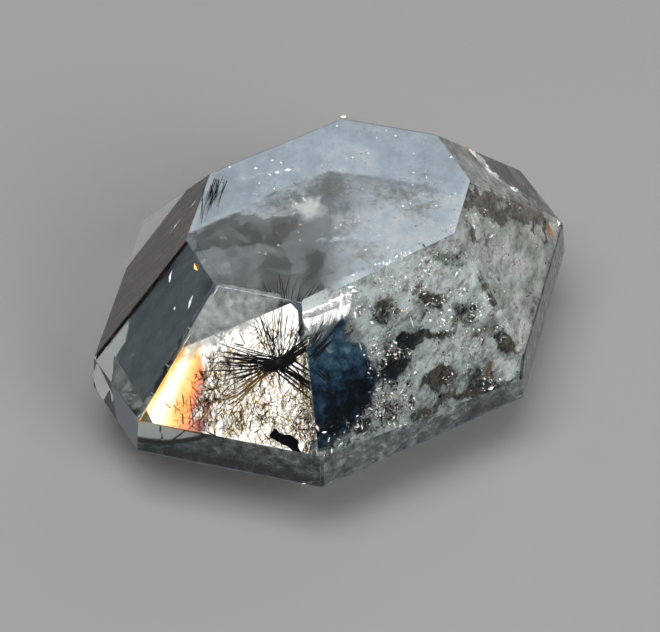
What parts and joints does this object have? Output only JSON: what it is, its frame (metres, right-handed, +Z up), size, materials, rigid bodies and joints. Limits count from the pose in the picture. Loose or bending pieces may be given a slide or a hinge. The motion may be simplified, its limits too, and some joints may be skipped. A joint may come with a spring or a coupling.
{
  "type": "hollandite quartz",
  "caption": "Clear rock crystal cut with eight sides, with a star of black hollandite needles sealed inside it.",
  "frame": {"origin": "middle of the flat base that the stone rests on", "axes": "+Z up through the table, +X to the right and -Y towards the viewer, who sees the star through the front left crown facet"},
  "size_m": [0.0121, 0.0116, 0.0057],
  "materials": {
    "quartz": "clear colourless quartz with polished flat facets and white veils inside",
    "hollandite": "black needles with a dull metallic shine"
  },
  "bodies": {
    "root": {"quartz_crown": "quartz", "quartz_base": "quartz", "hollandite_star": "hollandite"}
  },
  "joints": []
}
